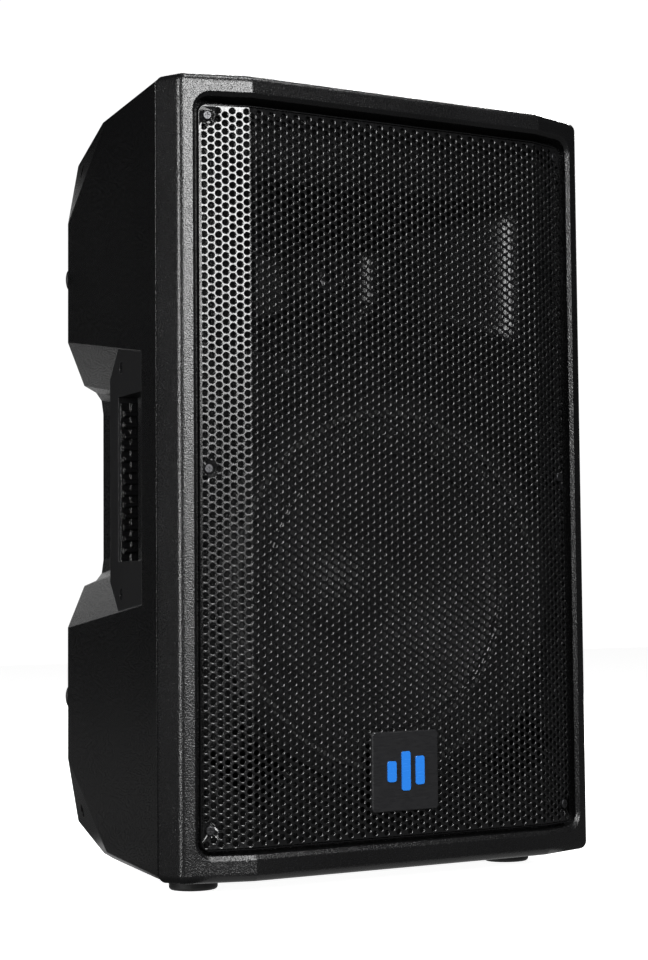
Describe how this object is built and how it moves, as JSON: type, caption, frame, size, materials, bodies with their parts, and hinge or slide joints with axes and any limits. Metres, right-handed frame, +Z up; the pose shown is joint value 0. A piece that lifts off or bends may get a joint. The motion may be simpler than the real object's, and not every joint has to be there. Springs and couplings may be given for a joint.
{
  "type": "loudspeaker cabinet",
  "caption": "Two-way active stage loudspeaker with a faceted perforated front, waist handles on both sides, rubber feet and a rear amplifier panel.",
  "frame": {"origin": "centre of the cabinet footprint, on the floor under the rubber feet", "axes": "+Z up, the front faces -Y, +X to the right seen from the front"},
  "size_m": [0.3922, 0.34, 0.614],
  "materials": {
    "shell_plastic": "moulded black, fine leather-like grain, low sheen",
    "frame_plastic": "moulded black, coarser pebble grain, satin",
    "grille_steel": "perforated steel, black powder coat",
    "badge_black": "satin black plate",
    "emblem_blue": "blue enamel",
    "screw_black": "blackened steel",
    "zinc_steel": "zinc plated",
    "basket_steel": "black coated pressed steel",
    "foam": "closed cell foam",
    "cloth": "doped cloth",
    "paper_cone": "coated pulp",
    "copper_former": "copper winding on a tan former",
    "spider_cloth": "phenolic cloth",
    "ferrite": "dull grey ferrite",
    "horn_plastic": "moulded black, smooth",
    "titanium": "thin titanium dome",
    "rubber_black": "moulded rubber",
    "grip_rubber": "smooth ribbed rubber",
    "handle_plastic": "moulded black, fine grain",
    "panel_paint": "black textured powder coat",
    "sheet_aluminium": "mill finish",
    "black_anodised": "black anodised",
    "board_green": "glass-fibre board",
    "parts_dark": "component sleeves and cores",
    "switch_grey": "moulded grey",
    "lamp_green": "translucent lamp",
    "knob_black": "soft-touch black",
    "rocker_black": "gloss black",
    "inlet_black": "moulded black",
    "tin_plate": "tinned contacts",
    "wire_red": "insulated lead",
    "wool": "polyester wadding",
    "brass": "plain brass"
  },
  "bodies": {
    "cabinet": {"rear_shell": "shell_plastic", "front_frame": "frame_plastic", "front_grille": "grille_steel", "grille_screws": "screw_black", "badge_plate": "badge_black", "badge_emblem": "emblem_blue", "baffle_screws": "screw_black", "brace_bars": "zinc_steel", "woofer_basket": "basket_steel", "woofer_gasket": "foam", "woofer_surround": "cloth", "woofer_spider": "spider_cloth", "woofer_top_plate": "zinc_steel", "woofer_magnet": "ferrite", "woofer_back_plate": "zinc_steel", "woofer_terminals": "tin_plate", "woofer_screws": "screw_black", "horn_flare": "horn_plastic", "horn_screws": "screw_black", "driver_magnet": "ferrite", "driver_diaphragm": "titanium", "driver_cover": "basket_steel", "port_ducts": "horn_plastic", "handle_left": "handle_plastic", "handle_right": "handle_plastic", "grip_pads": "grip_rubber", "handle_screws": "screw_black", "rubber_feet": "rubber_black", "base_screws": "zinc_steel", "pole_socket": "horn_plastic", "monitor_pads": "rubber_black", "fly_inserts": "brass", "amp_panel": "panel_paint", "panel_screws": "screw_black", "connector_screws": "screw_black", "amp_chassis": "sheet_aluminium", "heat_sink": "black_anodised", "main_board": "board_green", "power_parts": "parts_dark", "control_bodies": "switch_grey", "status_lamps": "lamp_green", "mains_inlet": "inlet_black", "inlet_pins": "tin_plate", "rocker_frame": "inlet_black", "internal_leads": "wire_red", "damping_lining": "wool", "input_jack_one": "inlet_black", "input_jack_two": "inlet_black"},
    "cone_body": {"woofer_cone": "paper_cone", "woofer_dust_cap": "paper_cone", "woofer_voice_coil": "copper_former"},
    "knob_input_one_body": {"knob_input_one": "knob_black"},
    "knob_input_two_body": {"knob_input_two": "knob_black"},
    "knob_bass_body": {"knob_bass": "knob_black"},
    "knob_treble_body": {"knob_treble": "knob_black"},
    "button_line_mic_body": {"button_line_mic": "switch_grey"},
    "button_low_cut_body": {"button_low_cut": "switch_grey"},
    "jack_latch_one_body": {"jack_latch_one": "tin_plate"},
    "jack_latch_two_body": {"jack_latch_two": "tin_plate"},
    "power_rocker_body": {"power_rocker": "rocker_black"}
  },
  "joints": [
    {"name": "cone_travel", "type": "slide", "parent": "cabinet", "child": "cone_body", "axis": [0, -1, 0], "range_m": [-0.006, 0.006], "stiffness_N_per_m": 4000, "deforming": ["woofer_surround", "woofer_spider"]},
    {"name": "knob_input_one_turn", "type": "hinge", "parent": "cabinet", "child": "knob_input_one_body", "pos_m": [-0.048, 0.147, 0.364], "axis": [0, -1, 0], "range_deg": [-145, 145]},
    {"name": "knob_input_two_turn", "type": "hinge", "parent": "cabinet", "child": "knob_input_two_body", "pos_m": [-0.016, 0.147, 0.364], "axis": [0, -1, 0], "range_deg": [-145, 145]},
    {"name": "knob_bass_turn", "type": "hinge", "parent": "cabinet", "child": "knob_bass_body", "pos_m": [0.016, 0.147, 0.364], "axis": [0, -1, 0], "range_deg": [-145, 145]},
    {"name": "knob_treble_turn", "type": "hinge", "parent": "cabinet", "child": "knob_treble_body", "pos_m": [0.048, 0.147, 0.364], "axis": [0, -1, 0], "range_deg": [-145, 145]},
    {"name": "button_line_mic_press", "type": "slide", "parent": "cabinet", "child": "button_line_mic_body", "axis": [0, -1, 0], "range_m": [0, 0.0025], "stiffness_N_per_m": 600, "springref_m": -0.0005},
    {"name": "button_low_cut_press", "type": "slide", "parent": "cabinet", "child": "button_low_cut_body", "axis": [0, -1, 0], "range_m": [0, 0.0025], "stiffness_N_per_m": 600, "springref_m": -0.0005},
    {"name": "jack_latch_one_press", "type": "slide", "parent": "cabinet", "child": "jack_latch_one_body", "axis": [0, -1, 0], "range_m": [0, 0.0016], "stiffness_N_per_m": 600, "springref_m": -0.0005},
    {"name": "jack_latch_two_press", "type": "slide", "parent": "cabinet", "child": "jack_latch_two_body", "axis": [0, -1, 0], "range_m": [0, 0.0016], "stiffness_N_per_m": 600, "springref_m": -0.0005},
    {"name": "power_rocker_tilt", "type": "hinge", "parent": "cabinet", "child": "power_rocker_body", "pos_m": [0.032, 0.144, 0.19], "axis": [-1, 0, 0], "range_deg": [0, 18]}
  ]
}
